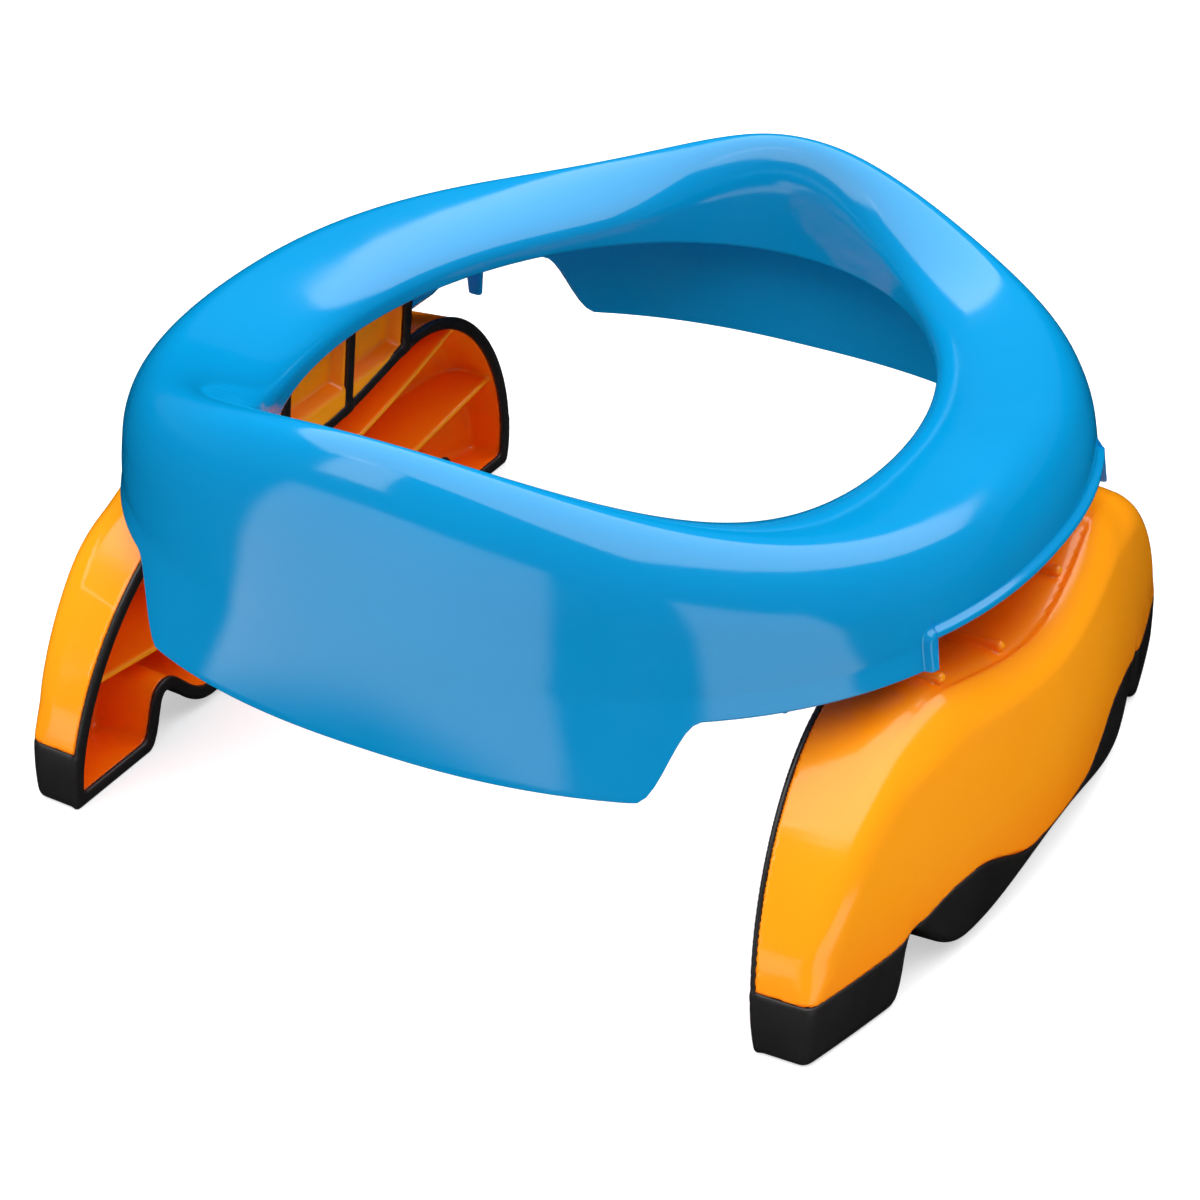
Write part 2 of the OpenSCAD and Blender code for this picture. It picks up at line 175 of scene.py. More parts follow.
def mesh_object(name, points_mm, faces):
    mesh = bpy.data.meshes.new(name)
    mesh.from_pydata((np.asarray(points_mm) * MM).tolist(), [], [list(map(int, f)) for f in faces])
    mesh.validate()
    mesh.update()
    mesh.polygons.foreach_set("use_smooth", [True] * len(mesh.polygons))
    obj = bpy.data.objects.new(name, mesh)
    bpy.context.scene.collection.objects.link(obj)
    return obj


# ---------------------------------------------------------------- seat ring
def outer_pt(a):
    return np.array([SEAT_W / 2 * spow(math.cos(a), 2 / PLAN_POWER),
                     SEAT_L / 2 * spow(math.sin(a), 2 / PLAN_POWER)])


def inner_pt(a):
    return np.array([OPENING_W / 2 * math.cos(a), OPENING_L / 2 * math.sin(a)])


def hump(a):
    """0 at the sides of the seat, 1 at the middle of its front and back."""
    return abs(math.sin(a)) ** (FRONT_SPREAD if math.sin(a) < 0 else REAR_SPREAD)


def crest_z(a):
    return SIDE_TOP + ((FRONT_TOP if math.sin(a) < 0 else REAR_TOP) - SIDE_TOP) * hump(a)


CUT_ANGLE = math.asin((CUTOUT_HALF / (SEAT_L / 2)) ** (PLAN_POWER / 2))


def in_cutout(a):
    return abs(math.sin(a)) < math.sin(CUT_ANGLE)


def skirt_z(a):
    if in_cutout(a):
        return CUTOUT_Z
    return LOBE_Z + (DEEP_Z - LOBE_Z) * float(ease((abs(outer_pt(a)[0]) - LOBE_IN) / (LOBE_OUT - LOBE_IN)))


def bead_height(a, z):
    """How far the skirt stands out beside a side cut-out."""
    y = abs(outer_pt(a)[1])
    if in_cutout(a):
        d = z - CUTOUT_Z
    elif z < CUTOUT_Z:
        d = y - CUTOUT_HALF
    else:
        d = math.hypot(y - CUTOUT_HALF, z - CUTOUT_Z)
    return BEAD * float(1 - ease((d - BEAD_W * 0.55) / (BEAD_W * 0.45)))


def flare_at(a, z):
    """How far the skirt stands out at height z: most at the corners of the lobes."""
    along = min(1.0, abs(outer_pt(a)[0]) / LOBE_IN) ** 2
    return FLARE * (0.1 + 0.9 * along) * min(1.0, max(0.0, (FLARE_TOP - z) / (FLARE_TOP - LOBE_Z)))


def blend_at(a, at_side, at_hump):
    """A value that changes from the sides of the seat to its humps."""
    return at_side + (at_hump - at_side) * hump(a)


def seat_profile(a, skirt_n=26, arc_n=26, edge_n=4):
    """Closed cross-section of the moulded wall at angle a: [distance in, height]."""
    w = float(np.linalg.norm(outer_pt(a) - inner_pt(a)))
    top = crest_z(a)
    low = skirt_z(a)
    crest = w * blend_at(a, CREST_SIDE, CREST_HUMP)
    shoulder = top - blend_at(a, DROP_SIDE, DROP_HUMP)
    roll = top - blend_at(a, ROLL_SIDE, ROLL_HUMP)
    lean = blend_at(a, LEAN_SIDE, LEAN_HUMP)
    quarter = np.linspace(0, math.pi / 2, arc_n + 1)
    edge_turn = np.linspace(0, math.pi / 2, edge_n)
    r = SKIRT_EDGE_R

    def lean_at(z):
        return lean * float(ease((z - FLARE_TOP) / (shoulder + LEAN_FADE - FLARE_TOP)))

    def skirt_x(z):
        return lean_at(z) - flare_at(a, z)

    def outer_half(t, inset):
        z = shoulder + (top - inset - shoulder) * math.sin(t)
        return inset + lean_at(z) + (crest - inset - lean) * (1 - math.cos(t)), z

    def inner_half(t, inset):
        return (crest + (w - inset - crest) * math.sin(t),
                roll + (top - inset - roll) * math.cos(t))

    pts = []
    for i in range(skirt_n):
        z = low + r + (shoulder - low - r) * i / skirt_n
        pts.append((skirt_x(z) - bead_height(a, z), z))
    pts += [outer_half(t, 0) for t in quarter]
    pts += [inner_half(t, 0) for t in quarter[1:]]
    half = SEAT_WALL / 2
    for t in np.linspace(0, math.pi, edge_n * 2 + 1):
        pts.append((w - half + half * math.cos(t), LIP_Z + half - half * math.sin(t)))
    pts += [inner_half(t, SEAT_WALL) for t in quarter[::-1]]
    pts += [outer_half(t, SEAT_WALL) for t in quarter[::-1][1:]]
    for i in range(1, skirt_n + 1):
        z = shoulder + (low + r - shoulder) * i / skirt_n
        pts.append((SEAT_WALL + skirt_x(z), z))
    skin = skirt_x(low) - bead_height(a, low)
    lining = skirt_x(low) + SEAT_WALL
    for t in edge_turn[1:]:
        pts.append((lining - r * (1 - math.cos(t)), low + r * (1 - math.sin(t))))
    for t in edge_turn[:-1]:
        pts.append((skin + r * (1 - math.sin(t)), low + r * (1 - math.cos(t))))
    return pts


def seat_angles():
    """Angles of the sections: one degree apart, and closer at the ends of the cut-outs."""
    coarse, fine = math.radians(1.0), math.radians(0.12)
    quarter = [0.0]
    a = 0.0
    while a < math.pi / 2 - 1e-9:
        a += fine if abs(a - CUT_ANGLE) < math.radians(1.6) else coarse
        if a < math.pi / 2 - 0.004:
            quarter.append(a)
    half = quarter + [math.pi / 2] + [math.pi - x for x in reversed(quarter[1:])]
    return half + [math.pi + x for x in half]


def build_seat_ring():
    rows = []
    for a in seat_angles():
        o = outer_pt(a)
        d = inner_pt(a) - o
        d /= np.linalg.norm(d)
        rows.append([(o[0] + d[0] * u, o[1] + d[1] * u, z) for u, z in seat_profile(a)])
    n, m = len(rows), len(rows[0])
    pts = [p for row in rows for p in row]
    faces = []
    for i in range(n):
        this, after = i * m, (i + 1) % n * m
        for j in range(m):
            k = (j + 1) % m
            faces.append((this + j, after + j, after + k, this + k))
    return mesh_object("seat_ring", pts, faces)


# ---------------------------------------------------------------- surfaces from a field
def surface_net(field, low, high, step):
    """Points and quads on the zero surface of field(x, y, z), negative inside."""
    counts = [int(math.ceil((h - l) / step)) + 1 for l, h in zip(low, high)]
    axes = [l + step * np.arange(n) for l, n in zip(low, counts)]
    f = field(axes[0][:, None, None], axes[1][None, :, None], axes[2][None, None, :])
    f = np.broadcast_to(f, counts).astype(np.float32)
    inside = f < 0
    cells = [n - 1 for n in counts]
    total = np.zeros(cells + [3], np.float32)
    hits = np.zeros(cells, np.float32)
    crossings = []
    for ax in range(3):
        first = [slice(None)] * 3
        second = [slice(None)] * 3
        first[ax] = slice(0, -1)
        second[ax] = slice(1, None)
        fa, fb = f[tuple(first)], f[tuple(second)]
        cross = inside[tuple(first)] != inside[tuple(second)]
        crossings.append((cross, inside[tuple(first)]))
        gap = np.where(cross, fa - fb, 1)
        part = np.where(cross, fa / gap, 0)
        others = [o for o in range(3) if o != ax]
        for p in (0, 1):
            for q in (0, 1):
                cut = [slice(None)] * 3
                cut[others[0]] = slice(p, cells[others[0]] + p)
                cut[others[1]] = slice(q, cells[others[1]] + q)
                c = cross[tuple(cut)]
                hits += c
                total[..., ax] += np.where(c, part[tuple(cut)], 0)
                total[..., others[0]] += c * p
                total[..., others[1]] += c * q
    mixed = hits > 0
    index = np.full(cells, -1, np.int64)
    index[mixed] = np.arange(int(mixed.sum()))
    where = np.argwhere(mixed)
    pts = np.array(low) + step * (where + total[mixed] / hits[mixed][:, None])
    quads = []
    for ax in range(3):
        cross, start_in = crossings[ax]
        o1, o2 = [(1, 2), (2, 0), (0, 1)][ax]
        keep = np.argwhere(cross)
        ok = (keep[:, o1] > 0) & (keep[:, o2] > 0)
        ok &= (keep[:, o1] < counts[o1] - 1) & (keep[:, o2] < counts[o2] - 1)
        keep = keep[ok]
        corner = []
        for d1, d2 in ((0, 0), (-1, 0), (-1, -1), (0, -1)):
            k = keep.copy()
            k[:, o1] += d1
            k[:, o2] += d2
            corner.append(index[k[:, 0], k[:, 1], k[:, 2]])
        quad = np.stack(corner, 1)
        flip = ~start_in[keep[:, 0], keep[:, 1], keep[:, 2]]
        quad[flip] = quad[flip][:, ::-1]
        quads.append(quad)
    return pts, np.concatenate(quads)


def settle(field, pts, rounds=3):
    """Moves points onto the zero surface along the field's slope."""
    h = 0.1
    pts = pts.copy()
    for _ in range(rounds):
        x, y, z = pts.T
        g = np.stack([field(x + h, y, z) - field(x - h, y, z),
                      field(x, y + h, z) - field(x, y - h, z),
                      field(x, y, z + h) - field(x, y, z - h)], 1) / (2 * h)
        size = np.maximum((g * g).sum(1), 0.2)
        move = -(field(x, y, z) / size)[:, None] * g
        reach = np.linalg.norm(move, axis=1, keepdims=True)
        pts += move * np.minimum(1, 0.35 / np.maximum(reach, 1e-9))
    return pts


def smax(a, b, k):
    """The larger of a and b, rounded over where they are within k of each other."""
    h = np.maximum(k - np.abs(a - b), 0) / k
    return np.maximum(a, b) + h * h * k / 4


def smin(a, b, k):
    return -smax(-a, -b, k)


# ---------------------------------------------------------------- leg outline and fields
# A leg is drawn flat: u along Y, v up the leg, w out from the tray mouth.
HINGE_V = HINGE_Z * math.cos(SPLAY) - (HINGE_X - MOUTH_X) * math.sin(SPLAY)
HINGE_W = (HINGE_X - MOUTH_X) * math.cos(SPLAY) + HINGE_Z * math.sin(SPLAY)
HEEL, ARCH_U, ARCH_V, BELLY_U, BELLY_V = 70.0, 64.0, 15.0, 44.0, 2.4
UNDER = 12.0
TOP_CURVE = ((0, HOLLOW_V), (19, HOLLOW_V), (SHOULDER_U - 12, SHOULDER_V), (SHOULDER_U, SHOULDER_V))


def leg_outline(n=40):
    half = np.concatenate([
        bezier((0, MID_V), (16, MID_V), (30, BELLY_V), (BELLY_U, BELLY_V), n),
        bezier((BELLY_U, BELLY_V), (54, BELLY_V), (ARCH_U - 4, ARCH_V - 1), (ARCH_U, ARCH_V), n),
        bezier((ARCH_U, ARCH_V), (67.5, ARCH_V + 0.8), (66, 5), (HEEL, 0), n),
        [(HEEL + 0.6, -UNDER), (TOE - 1.2, -UNDER)],
        bezier((TOE, 0), (TOE + 4.2, 25.7), (81, SHOULDER_V), (SHOULDER_U, SHOULDER_V), n),
        bezier(*TOP_CURVE[::-1], n),
        [(0, HOLLOW_V)]])
    mirrored = half[::-1] * (-1, 1)
    return np.concatenate([half, mirrored[1:-1]])


def polygon_distance(poly, px, py):
    """Signed distance from the points to a closed polygon, negative inside."""
    best = np.full(px.shape, 1e9)
    inside = np.zeros(px.shape, bool)
    for a, b in zip(poly, np.roll(poly, -1, 0)):
        d = b - a
        t = np.clip(((px - a[0]) * d[0] + (py - a[1]) * d[1]) / (d @ d), 0, 1)
        best = np.minimum(best, (px - a[0] - t * d[0]) ** 2 + (py - a[1] - t * d[1]) ** 2)
        crosses = (a[1] > py) != (b[1] > py)
        if abs(d[1]) > 1e-12:
            inside ^= crosses & (px < a[0] + (py - a[1]) * d[0] / d[1])
    return np.where(inside, -1, 1) * np.sqrt(best)


GRID = 0.3
GRID_LOW = (-TOE - 12, -UNDER - 4)
GRID_N = (int(2 * (TOE + 12) / GRID) + 1, int((HINGE_V + 30) / GRID) + 1)
OUTLINE = polygon_distance(leg_outline(), *np.meshgrid(GRID_LOW[0] + GRID * np.arange(GRID_N[0]),
                                                       GRID_LOW[1] + GRID * np.arange(GRID_N[1]),
                                                       indexing="ij"))


def outline_at(u, v):
    """The outline's signed distance, read between grid points."""
    x = np.clip((u - GRID_LOW[0]) / GRID, 0, GRID_N[0] - 1.001)
    y = np.clip((v - GRID_LOW[1]) / GRID, 0, GRID_N[1] - 1.001)
    i, j = x.astype(int), y.astype(int)
    fx, fy = x - i, y - j
    return ((OUTLINE[i, j] * (1 - fx) + OUTLINE[i + 1, j] * fx) * (1 - fy)
            + (OUTLINE[i, j + 1] * (1 - fx) + OUTLINE[i + 1, j + 1] * fx) * fy)


def face_depth(u, v):
    """Depth of the bowed outer face below the tray mouth's plane."""
    bow = (LEG_DEPTH - TOE_DEPTH) * (np.abs(u) / TOE) ** BOW_POWER
    tuck = (v - TUCK_V) ** 2 / (2 * TUCK_R)
    return LEG_DEPTH - bow - tuck


def floor_height(v, w):
    """Height above the floor of a point in the leg's own frame."""
    return v * math.cos(SPLAY) + w * math.sin(SPLAY)


def edge_round(u, v):
    """Size of the rounding between a leg's edge and its outer face."""
    upper = ease((v - 44) / 14) * (1 - ease((np.abs(u) - 48) / 30))
    return 2.6 + 4.4 * ease((v - 12) / 12) + 8 * upper


def edge_draft(u, v):
    """How much the leg narrows for each millimetre out from the mouth."""
    return 0.04 + 0.13 * ease((v - 20) / 35) * ease((np.abs(u) - 42) / 18)


def leg_form(u, v, w, inset):
    """The leg's whole form as a field, shrunk by inset."""
    level = v + math.tan(SPLAY) * np.maximum(w, 0) * (1 - ease((v - 6) / 24))
    edge = outline_at(u, level) + edge_draft(u, v) * np.maximum(w, 0) + inset
    edge = smax(edge, inset - floor_height(v, w), 1.6)
    return smax(edge, w - face_depth(u, v) + inset, edge_round(u, v))


def band_z(u):
    """Height above the floor of the rubber's upper edge on the outer face."""
    d = np.abs(u)
    rise = BAND_MID + (BAND_PEAK - BAND_MID) * ease((d - 14) / 28)
    return np.where(d < 48, rise, BAND_PEAK - BAND_DROP * ease((d - 48) / 28))


def box_field(u, v, w, low, high, r):
    """A box from low to high with edges rounded by about r."""
    mid = [(a + b) / 2 for a, b in zip(low, high)]
    half = [(b - a) / 2 for a, b in zip(low, high)]
    return smax(smax(np.abs(u - mid[0]) - half[0], np.abs(v - mid[1]) - half[1], r),
                np.abs(w - mid[2]) - half[2], r)


def plate_field(u, v, w):
    """The hinge plate, with pockets open to the mouth side and slots for the bars."""
    top = HINGE_V + PLATE_TOP
    body = box_field(u, v, w, (-PLATE_HALF, HOLLOW_V - 4, PLATE_BACK),
                     (PLATE_HALF, top, PLATE_D), 1.6)
    for left, right in zip(BAR_US[:-1], BAR_US[1:]):
        depth = PLATE_D - POCKET_FLOOR
        low = (left + BAR_W / 2, HOLLOW_V + POCKET_LOW, -8)
        high = (right - BAR_W / 2, top - POCKET_TOP, depth)
        sides = box_field(u, v, w, low, high, 1.0) + np.maximum(w, 0) * POCKET_DRAFT
        pocket = smax(sides, w - depth, 0.6)
        body = smax(body, -pocket, 1.0)
    for bar in BAR_US:
        slot = np.maximum(np.abs(u - bar) - BAR_W / 2, w - RIM_D)
        body = smax(body, -slot, 0.4)
    return body


def boss_field(u, v, w):
    r = np.hypot(v - HINGE_V, w - HINGE_W)
    along = np.abs(np.abs(u) - (PLATE_HALF - BOSS_L / 2)) - BOSS_L / 2
    return smax(r - BOSS_R, along, 1.0)


def pin_bore(u, v, w):
    """The bores at both ends of the plate."""
    r = np.hypot(v - HINGE_V, w - HINGE_W)
    return np.maximum(r - PIN_R - 0.1, PLATE_HALF - BOSS_L - 1 - np.abs(u))


def rim_field(u, v, w):
    """The rubber rim around the tray mouth."""
    outer = smax(outline_at(u, v), -floor_height(v, w), 1.0)
    inner = smax(outline_at(u, v) + RIM_W, RIM_W - floor_height(v, w), 1.5)
    ring = smax(outer, -inner, 1.0)
    return smax(smax(ring, -w, 1.0), w - RIM_D, 0.4)


def top_wall_v(u):
    """Height of the concave top wall's outline at u."""
    curve = cubic(*TOP_CURVE, np.linspace(0, 1, 200))
    return np.interp(np.abs(u), curve[:, 0], curve[:, 1])


def bumper_field(u, v, w):
    best = None
    for centre in BUMPER_US:
        reach = LEG_DEPTH - BUMPER_BACK - abs(centre) / 12
        past = np.maximum(np.maximum(w - reach, PLATE_D - w), 0)
        middle = float(top_wall_v(centre)) - BUMPER_R + BUMPER_OUT
        f = np.sqrt((u - centre) ** 2 + (v - middle) ** 2 + past ** 2) - BUMPER_R
        best = f if best is None else np.minimum(best, f)
    return best


def inner_ribs(u, v, w, cavity):
    """Stiffening shelves across the inside of the tray."""
    d = np.abs(u)
    upper_v = 40.5 + 0.12 * d + 0.0017 * d * d
    lower_v = 17.5 + 0.145 * d
    upper = (np.abs(v - upper_v) - RIB_HALF) * 0.95
    lower = smax((np.abs(v - lower_v) - RIB_HALF) * 0.98, (24 - d) * 0.9, 1.0)
    behind = RIB_BACK - w
    shelf = np.minimum(smax(upper, behind, 0.8), smax(lower, behind, 0.8))
    return np.maximum(shelf, cavity - 0.4)


def wall_recess(u, v, w, form):
    """A shallow step down in the concave top wall, which leaves a ridge along its outer side."""
    depth = RECESS * (1 - ease((np.abs(u) - 36) / 12))
    limit = face_depth(u, HOLLOW_V) - RIDGE_W
    return smax(smax(-form - depth, w - limit, 0.7), HOLLOW_V - 10 - v, 0.3)


def tray_field(u, v, w):
    """The orange tray: walls, ribs, hinge plate, bumper ribs and bosses."""
    body = leg_form(u, v, w, 0.0)
    body = smax(body, -wall_recess(u, v, w, body), 0.5)
    under_rubber = leg_form(u, v, w, SOLE)
    above = (band_z(u) - floor_height(v, w)) * 0.9
    body = np.minimum(smax(body, above, 0.5), under_rubber)
    cavity = leg_form(u, v, w, SOLE + TRAY_WALL)
    tray = smax(body, -cavity, 0.6)
    tray = smin(tray, inner_ribs(u, v, w, cavity), 1.0)
    tray = smax(tray, RIM_D - w, 0.3)
    plate = smax(smax(plate_field(u, v, w), -cavity, 0.6), -rim_field(u, v, w), 0.5)
    tray = smin(tray, plate, 1.2)
    tray = smin(tray, bumper_field(u, v, w), 0.5)
    tray = smin(tray, boss_field(u, v, w), 1.5)
    return np.maximum(tray, -pin_bore(u, v, w))


def rubber_field(u, v, w):
    """Rim, skin over the feet and lower edge, and bars across the plate."""
    body = leg_form(u, v, w, 0.0)
    inner = leg_form(u, v, w, SOLE)
    below = (floor_height(v, w) - band_z(u)) * 0.9 + 0.12
    skin = smax(smax(body, below, 0.5), -inner, 0.4)
    skin = smax(skin, -w, 1.0)
    bars = None
    for bar in BAR_US:
        f = box_field(u, v, w, (bar - BAR_W / 2, HOLLOW_V - 2, -0.3),
                      (bar + BAR_W / 2, HINGE_V + PLATE_TOP, RIM_D), 0.9)
        bars = f if bars is None else np.minimum(bars, f)
    bars = smax(bars, -outline_at(u, v) - RIM_W + 1, 0.4)
    return smin(smin(rim_field(u, v, w), skin, 0.5), bars, 1.2)


def stand(points, side):
    """Puts flat leg points (u, v, w) in place on the right (1) or left (-1)."""
    u, v, w = points.T
    x = MOUTH_X + w * math.cos(SPLAY) - v * math.sin(SPLAY)
    z = v * math.cos(SPLAY) + w * math.sin(SPLAY)
    return np.stack([side * x, u * side, z], 1)


def leg_surface(field):
    """Points and quads of one leg piece, in the leg's own frame."""
    low = (-TOE - 6, -5.0, -3.0)
    high = (TOE + 6, HINGE_V + 9, LEG_DEPTH + 4)
    pts, quads = surface_net(field, low, high, LEG_STEP)
    return settle(field, pts), quads


def build_leg(side, tray, rubber):
    """The tray's and the rubber's surface as two pieces, on the right (1) or left (-1)."""
    name = "right" if side > 0 else "left"
    made = []
    for part, (pts, quads) in (("tray", tray), ("rubber", rubber)):
        made.append(mesh_object(f"{name}_leg_{part}_skin", stand(pts, side), quads))
    return made


# ---------------------------------------------------------------- seat ears and prongs
def four_corners(name, rear, front):
    """Copies of a piece at the four corners; rear and front are (points, quads)."""
    made = []
    for sx, side in ((1, "right"), (-1, "left")):
        for sy, end, (pts, quads) in ((1, "rear", rear), (-1, "front", front)):
            turned = quads if sx * sy > 0 else quads[:, ::-1]
            made.append(mesh_object(f"seat_{side}_{end}_{name}", pts * (sx, sy, 1), turned))
    return made


def ear_surface(lift):
    top = SIDE_TOP + lift
    shape = [(-EAR_R, HINGE_Z), (EAR_R, HINGE_Z)]
    shape += [(out, top - down) for out, down in EAR_TOP]
    shape += [(-EAR_IN, HINGE_Z + 5)]
    web_shape = np.array([(HINGE_X + x, z) for x, z in shape])
    low = (HINGE_X - EAR_IN - 2, EAR_Y - 1, HINGE_Z - EAR_R - 2)
    high = (HINGE_X + EAR_R + 2, EAR_Y + EAR_T + 1, top + 1)

    def ear_field(x, y, z):
        r = np.hypot(x - HINGE_X, z - HINGE_Z)
        web = polygon_distance(web_shape, *np.broadcast_arrays(x, z))
        f = smin(r - EAR_R, web, 0.8)
        f = smax(f, np.abs(y - EAR_Y - EAR_T / 2) - EAR_T / 2, 0.8)
        return np.maximum(f, PIN_R + 0.05 - r)

    pts, quads = surface_net(ear_field, low, high, 0.5)
    return settle(ear_field, pts), quads


def wing_surface(lift):
    """The block that runs on inwards of an ear, towards the opening."""
    top = SIDE_TOP + lift
    x0, x1 = HINGE_X - EAR_IN, HINGE_X - WING_IN
    shape = np.array([(x0, top - WING_TOPS[0]), (x0, WING_Z + WING_BEVEL[1]),
                      (x0 + WING_BEVEL[0], WING_Z), (x1, WING_Z), (x1, top - WING_TOPS[1])])
    low = (x0 - 2, EAR_Y - 1, WING_Z - 2)
    high = (x1 + 2, EAR_Y + EAR_T + WING_T + 1, top + 1)

    def wing_field(x, y, z):
        web = polygon_distance(shape, *np.broadcast_arrays(x, z))
        middle = EAR_Y + (EAR_T + WING_T) / 2
        return smax(web + 0.3, np.abs(y - middle) - (EAR_T + WING_T) / 2, 1.2)

    pts, quads = surface_net(wing_field, low, high, 0.5)
    return settle(wing_field, pts), quads


def prong_surface(lift):
    low = (PRONG_X - PRONG_W, PRONG_Y - 2, PRONG_Z - 1)
    high = (PRONG_X + PRONG_W, PRONG_Y + PRONG_T + 2, SIDE_TOP + lift)

    def prong_field(x, y, z):
        narrow = np.clip((PRONG_Z + PRONG_TAPER_H - z) / PRONG_TAPER_H, 0, 1)
        f = smax(np.abs(x - PRONG_X) - PRONG_W / 2 + PRONG_TAPER * narrow,
                 np.abs(y - PRONG_Y - PRONG_T / 2) - PRONG_T / 2 + 0.3 * narrow, 0.8)
        out = x - PRONG_X
        ceiling = SIDE_TOP - PRONG_TOP + lift - 0.6 * out - 0.07 * out * out
        return smax(smax(f, PRONG_Z - z, 0.8), (z - ceiling) * 0.8, 0.3)

    pts, quads = surface_net(prong_field, low, high, 0.4)
    return settle(prong_field, pts), quads


def build_ears():
    return four_corners("ear", ear_surface(0), ear_surface(EAR_LIFT))


def build_wings():
    return four_corners("ear_block", wing_surface(0), wing_surface(WING_LIFT))


def build_prongs():
    return four_corners("prong", prong_surface(0), prong_surface(PRONG_LIFT))


# ---------------------------------------------------------------- materials
def new_material(name):
    mat = bpy.data.materials.new(name)
    mat.use_nodes = True
    tree = mat.node_tree
    return mat, tree, tree.nodes["Principled BSDF"]


def noise(tree, scale, detail, coord):
    n = tree.nodes.new("ShaderNodeTexNoise")
    n.inputs["Scale"].default_value = scale
    n.inputs["Detail"].default_value = detail
    tree.links.new(coord, n.inputs["Vector"])
    return n.outputs["Fac"]


def ramp(tree, fac, low, high, p0=0.3, p1=0.7):
    r = tree.nodes.new("ShaderNodeValToRGB")
    r.color_ramp.elements[0].position = p0
    r.color_ramp.elements[1].position = p1
    r.color_ramp.elements[0].color = low
    r.color_ramp.elements[1].color = high
    tree.links.new(fac, r.inputs["Fac"])
    return r.outputs["Color"]


def calc(tree, operation, a, b):
    """A math node; a and b are sockets or numbers."""
    n = tree.nodes.new("ShaderNodeMath")
    n.operation = operation
    for i, value in enumerate((a, b)):
        if isinstance(value, (int, float)):
            n.inputs[i].default_value = value
        else:
            tree.links.new(value, n.inputs[i])
    return n.outputs["Value"]


def clamped(tree, value):
    """The socket's value, kept between 0 and 1."""
    return calc(tree, "MINIMUM", calc(tree, "MAXIMUM", value, 0), 1)


def grey(v):
    return (v, v, v, 1)


def object_coord(tree):
    return tree.nodes.new("ShaderNodeTexCoord").outputs["Object"]


def add_bumps(tree, bsdf, layers):
    """layers: list of (height socket, strength, distance in metres), coarse to fine."""
    last = None
    for height, strength, distance in layers:
        b = tree.nodes.new("ShaderNodeBump")
        b.inputs["Strength"].default_value = strength
        b.inputs["Distance"].default_value = distance
        tree.links.new(height, b.inputs["Height"])
        if last is not None:
            tree.links.new(last, b.inputs["Normal"])
        last = b.outputs["Normal"]
    tree.links.new(last, bsdf.inputs["Normal"])


def paint_hollow_shade(tree, colour, hollow_shade, reach, start, end):
    """Mixes a colour towards a painted shade colour where surfaces within reach (metres) close it in:
    painted shade in hollows and recesses.
    """
    near = tree.nodes.new("ShaderNodeAmbientOcclusion")
    near.samples = 8
    near.inputs["Distance"].default_value = reach
    mix = tree.nodes.new("ShaderNodeMix")
    mix.data_type = "RGBA"
    tree.links.new(ramp(tree, near.outputs["AO"], grey(0), grey(1), start, end), mix.inputs[0])
    mix.inputs[6].default_value = hollow_shade
    tree.links.new(colour, mix.inputs[7])
    return mix.outputs[2]


# ---------------------------------------------------------------- plastics, rubber and steel
def gloss_plastic(name, dark, light, hollow_shade, rough_low, rough_high):
    mat, tree, bsdf = new_material(name)
    at = object_coord(tree)
    colour = ramp(tree, noise(tree, 14, 4, at), dark, light)
    # Painted shade: the base colour turns to the third, shade colour in hollows and recesses.
    tree.links.new(paint_hollow_shade(tree, colour, hollow_shade, 0.06, 0.25, 0.85), bsdf.inputs["Base Color"])
    tree.links.new(ramp(tree, noise(tree, 60, 6, at), grey(rough_low), grey(rough_high)),
                   bsdf.inputs["Roughness"])
    add_bumps(tree, bsdf, [(noise(tree, 30, 2, at), 0.05, 0.002),
                           (noise(tree, 900, 2, at), 0.02, 0.0004)])
    bsdf.inputs["IOR"].default_value = 1.5
    return mat


def soft_rubber(name):
    mat, tree, bsdf = new_material(name)
    at = object_coord(tree)
    dark, light = (0.011, 0.0105, 0.0105, 1), (0.017, 0.016, 0.016, 1)
    tree.links.new(ramp(tree, noise(tree, 30, 5, at), dark, light), bsdf.inputs["Base Color"])
    tree.links.new(ramp(tree, noise(tree, 120, 5, at), grey(0.3), grey(0.42)), bsdf.inputs["Roughness"])
    add_bumps(tree, bsdf, [(noise(tree, 700, 3, at), 0.1, 0.0004)])
    return mat


def pin_steel(name):
    mat, tree, bsdf = new_material(name)
    at = object_coord(tree)
    dark, light = (0.42, 0.42, 0.43, 1), (0.62, 0.62, 0.64, 1)
    tree.links.new(ramp(tree, noise(tree, 80, 5, at), dark, light), bsdf.inputs["Base Color"])
    bsdf.inputs["Metallic"].default_value = 1
    tree.links.new(ramp(tree, noise(tree, 300, 4, at), grey(0.25), grey(0.42)), bsdf.inputs["Roughness"])
    add_bumps(tree, bsdf, [(noise(tree, 1200, 2, at), 0.1, 0.0002)])
    return mat


def dress(obj, mat):
    obj.data.materials.clear()
    obj.data.materials.append(mat)


# ---------------------------------------------------------------- studio
CARD_GLOW = 1.5                   # brightness of the white cards as mirrored in the plastic
CARD_SECTORS = ((-135, -75), (-49, -14))     # degrees around the object
CARD_START = 0.2                  # metres from the object's centre
CARD_EDGE = 20                    # one over the width of a card's soft side, in radians
CARD_START_EDGE = 40              # one over the width of its soft near end, in metres
FLOOR_GLOW = 0.5                  # extra light of the paper, to the camera only
WORLD_FILL = 0.38                 # light on matt surfaces
WORLD_SEEN = 1.03                 # brightness behind the paper
WORLD_MIRRORED = 0.06             # brightness in the plastic
FLOOR_HALF = 3.0                  # half the side of the paper, in metres
FLOOR_RISE_Y = 1.2                # where it starts to curve up


